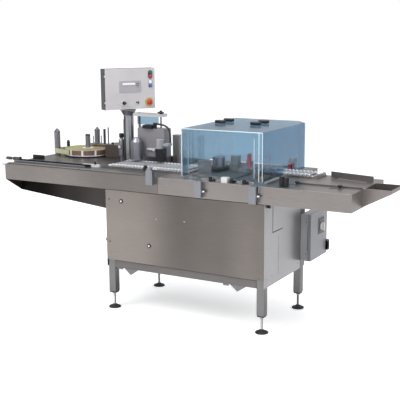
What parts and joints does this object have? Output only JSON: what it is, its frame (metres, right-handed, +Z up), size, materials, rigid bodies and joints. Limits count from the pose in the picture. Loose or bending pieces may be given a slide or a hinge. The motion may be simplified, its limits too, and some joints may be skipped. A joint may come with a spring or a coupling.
{
  "type": "vial labelling machine",
  "caption": "Free-standing stainless vial labelling machine: long deck, roller chains, label reel, clear hood, swivelling control box and levelling feet.",
  "frame": {"origin": "middle of the footprint, on the floor", "axes": "+Z up, +X towards the outfeed end (right, seen from the operator's side), +Y to the back"},
  "size_m": [2.7826, 0.861, 1.543],
  "materials": {
    "steel_brushed": "brushed",
    "steel_panel": "brushed",
    "steel_bright": "polished",
    "aluminium_part": "satin",
    "black_plastic": "matte",
    "roller_white": "satin",
    "motor_grey": "satin",
    "drum_black": "satin",
    "roller_red": "satin",
    "clear_hood": "gloss",
    "label_paper": "satin",
    "box_brown": "satin",
    "head_grey": "satin",
    "clear_window": "gloss",
    "arm_white": "satin",
    "hose_black": "satin",
    "box_grey": "satin",
    "display_grey": "matte",
    "button_green": "gloss",
    "button_red": "gloss",
    "button_blue": "gloss",
    "knob_cream": "satin"
  },
  "bodies": {
    "machine": {"corner_legs": "steel_brushed", "frame_rails": "steel_brushed", "levelling_feet": "black_plastic", "front_panel": "steel_panel", "side_panel_right": "steel_panel", "rear_cover": "steel_panel", "deck_left": "steel_panel", "deck_right": "steel_panel", "catch_tray": "steel_panel", "guide_rails": "black_plastic", "edge_bars": "aluminium_part", "infeed_chain": "roller_white", "outfeed_chain": "roller_white", "chain_side_plates": "steel_panel", "drive_motor": "motor_grey", "station_base": "aluminium_part", "hood_hinges": "steel_bright", "front_brackets": "aluminium_part", "outfeed_rails": "steel_bright", "reel_studs": "steel_bright", "rewind_box": "box_brown", "main_post": "aluminium_part", "label_head": "head_grey", "head_window": "clear_window", "air_regulator": "aluminium_part", "air_hose": "hose_black", "switch_box": "box_grey"},
    "guard_hood": {"guard_hood": "clear_hood", "hood_grips": "black_plastic"},
    "panel_box": {"control_box": "box_grey"},
    "panel_door": {"control_door": "box_grey", "display_unit": "display_grey"},
    "start_button": {"start_button": "button_green"},
    "stop_button": {"stop_button": "button_red"},
    "reset_button": {"reset_button": "button_blue"},
    "emergency_stop": {"emergency_stop": "button_red"},
    "speed_knob": {"speed_knob": "black_plastic"},
    "key_switch": {"key_switch": "steel_bright"},
    "panel_lock_upper": {"panel_lock_upper": "steel_bright"},
    "panel_lock_lower": {"panel_lock_lower": "steel_bright"},
    "rail_adjuster": {"rail_adjuster": "aluminium_part"},
    "infeed_head_shaft": {"infeed_head_shaft": "steel_bright"},
    "infeed_tail_shaft": {"infeed_tail_shaft": "steel_bright"},
    "outfeed_head_shaft": {"outfeed_head_shaft": "steel_bright"},
    "outfeed_tail_shaft": {"outfeed_tail_shaft": "steel_bright"},
    "wrap_drum": {"wrap_drum": "drum_black"},
    "star_turret": {"star_turret": "aluminium_part"},
    "press_roller_front": {"press_roller_front": "roller_red"},
    "press_roller_rear": {"press_roller_rear": "roller_red"},
    "hand_wheel": {"hand_wheel": "black_plastic"},
    "star_knob_left": {"star_knob_left": "black_plastic"},
    "star_knob_right": {"star_knob_right": "black_plastic"},
    "label_reel": {"reel_platter": "aluminium_part", "label_roll": "label_paper"},
    "guide_roller_left": {"guide_roller_left": "aluminium_part"},
    "guide_roller_cone": {"guide_roller_cone": "aluminium_part"},
    "head_knob": {"head_knob": "black_plastic"},
    "press_arm": {"press_arm": "arm_white"},
    "switch_door": {"switch_door": "box_grey"},
    "isolator_handle": {"isolator_handle": "knob_cream"}
  },
  "joints": [
    {"name": "hood_hinge", "type": "hinge", "parent": "machine", "child": "guard_hood", "pos_m": [0.36825, 0.4085, 0.911], "axis": [-1, 0, 0], "range_deg": [0, 85]},
    {"name": "panel_swivel", "type": "hinge", "parent": "machine", "child": "panel_box", "pos_m": [-0.55875, 0.0685, 1.265], "axis": [0, 0, 1], "range_deg": [-100, 60]},
    {"name": "panel_door_hinge", "type": "hinge", "parent": "panel_box", "child": "panel_door", "pos_m": [-0.62705, -0.11012, 1.405], "axis": [0, 0, -1], "range_deg": [0, 110]},
    {"name": "start_button_press", "type": "slide", "parent": "panel_door", "child": "start_button", "axis": [-0.8387, 0.5446, 0], "range_m": [0, 0.0035], "stiffness_N_per_m": 400},
    {"name": "stop_button_press", "type": "slide", "parent": "panel_door", "child": "stop_button", "axis": [-0.8387, 0.5446, 0], "range_m": [0, 0.0035], "stiffness_N_per_m": 400},
    {"name": "reset_button_press", "type": "slide", "parent": "panel_door", "child": "reset_button", "axis": [-0.8387, 0.5446, 0], "range_m": [0, 0.0035], "stiffness_N_per_m": 400},
    {"name": "emergency_stop_press", "type": "slide", "parent": "panel_door", "child": "emergency_stop", "axis": [-0.8387, 0.5446, 0], "range_m": [0, 0.0055]},
    {"name": "speed_knob_turn", "type": "hinge", "parent": "panel_door", "child": "speed_knob", "pos_m": [-0.55189, 0.00562, 1.312], "axis": [0.8387, -0.5446, 0], "range_deg": [-140, 140]},
    {"name": "key_turn", "type": "hinge", "parent": "panel_door", "child": "key_switch", "pos_m": [-0.49797, 0.08865, 1.312], "axis": [0.8387, -0.5446, 0], "range_deg": [-90, 0]},
    {"name": "lock_upper_turn", "type": "hinge", "parent": "machine", "child": "panel_lock_upper", "pos_m": [-0.31175, -0.3985, 0.725], "axis": [0, -1, 0], "range_deg": [0, 90]},
    {"name": "lock_lower_turn", "type": "hinge", "parent": "machine", "child": "panel_lock_lower", "pos_m": [-0.10575, -0.3985, 0.455], "axis": [0, -1, 0], "range_deg": [0, 90]},
    {"name": "rail_adjuster_turn", "type": "hinge", "parent": "machine", "child": "rail_adjuster", "pos_m": [-1.28275, -0.2445, 0.914], "axis": [1, 0, 0], "continuous": true},
    {"name": "infeed_head_shaft_turn", "type": "hinge", "parent": "machine", "child": "infeed_head_shaft", "pos_m": [0.01325, -0.2055, 0.866], "axis": [0, 1, 0], "continuous": true},
    {"name": "infeed_tail_shaft_turn", "type": "hinge", "parent": "machine", "child": "infeed_tail_shaft", "pos_m": [-0.51175, -0.2055, 0.866], "axis": [0, 1, 0], "continuous": true},
    {"name": "outfeed_head_shaft_turn", "type": "hinge", "parent": "machine", "child": "outfeed_head_shaft", "pos_m": [0.78725, 0.0085, 0.866], "axis": [0, 1, 0], "continuous": true},
    {"name": "outfeed_tail_shaft_turn", "type": "hinge", "parent": "machine", "child": "outfeed_tail_shaft", "pos_m": [0.49625, 0.0085, 0.866], "axis": [0, 1, 0], "continuous": true},
    {"name": "wrap_drum_turn", "type": "hinge", "parent": "machine", "child": "wrap_drum", "pos_m": [0.17325, 0.0175, 0.908], "axis": [0, 0, 1], "continuous": true},
    {"name": "star_turret_turn", "type": "hinge", "parent": "machine", "child": "star_turret", "pos_m": [0.51325, -0.0425, 0.935], "axis": [0, 0, 1], "continuous": true},
    {"name": "press_roller_front_turn", "type": "hinge", "parent": "machine", "child": "press_roller_front", "pos_m": [0.40425, -0.0045, 0.932], "axis": [0, 0, 1], "continuous": true},
    {"name": "press_roller_rear_turn", "type": "hinge", "parent": "machine", "child": "press_roller_rear", "pos_m": [0.59525, 0.1975, 0.915], "axis": [0, 0, 1], "continuous": true},
    {"name": "hand_wheel_turn", "type": "hinge", "parent": "machine", "child": "hand_wheel", "pos_m": [-0.12275, -0.4085, 0.952], "axis": [1, 0, 0], "continuous": true},
    {"name": "star_knob_left_turn", "type": "hinge", "parent": "machine", "child": "star_knob_left", "pos_m": [0.83025, -0.2295, 0.903], "axis": [0, 0, 1], "continuous": true},
    {"name": "star_knob_right_turn", "type": "hinge", "parent": "machine", "child": "star_knob_right", "pos_m": [1.09825, -0.2375, 0.903], "axis": [0, 0, 1], "continuous": true},
    {"name": "label_reel_turn", "type": "hinge", "parent": "machine", "child": "label_reel", "pos_m": [-1.03275, 0.2325, 0.905], "axis": [0, 0, 1], "continuous": true},
    {"name": "guide_roller_left_turn", "type": "hinge", "parent": "machine", "child": "guide_roller_left", "pos_m": [-1.25175, 0.1525, 0.915], "axis": [0, 0, 1], "continuous": true},
    {"name": "guide_roller_cone_turn", "type": "hinge", "parent": "machine", "child": "guide_roller_cone", "pos_m": [-1.03575, 0.3545, 0.973], "axis": [0, 0, 1], "continuous": true},
    {"name": "head_knob_turn", "type": "hinge", "parent": "machine", "child": "head_knob", "pos_m": [-0.29875, 0.0725, 1.149], "axis": [0, 0, 1], "continuous": true},
    {"name": "press_arm_pivot", "type": "hinge", "parent": "machine", "child": "press_arm", "pos_m": [-0.37175, 0.0275, 1.006], "axis": [0, 1, 0], "range_deg": [-8, 12], "stiffness_Nm_per_rad": 3},
    {"name": "switch_door_hinge", "type": "hinge", "parent": "machine", "child": "switch_door", "pos_m": [0.74425, 0.14, 0.487], "axis": [0, 0, -1], "range_deg": [0, 100]},
    {"name": "isolator_turn", "type": "hinge", "parent": "switch_door", "child": "isolator_handle", "pos_m": [0.76825, 0.3145, 0.535], "axis": [1, 0, 0], "range_deg": [0, 90]}
  ],
  "couplings": [
    {"joint": "infeed_tail_shaft_turn", "follows": "infeed_head_shaft_turn", "ratio": 1},
    {"joint": "outfeed_head_shaft_turn", "follows": "infeed_head_shaft_turn", "ratio": 1},
    {"joint": "outfeed_tail_shaft_turn", "follows": "infeed_head_shaft_turn", "ratio": 1},
    {"joint": "star_turret_turn", "follows": "infeed_head_shaft_turn", "ratio": 1.1441}
  ]
}
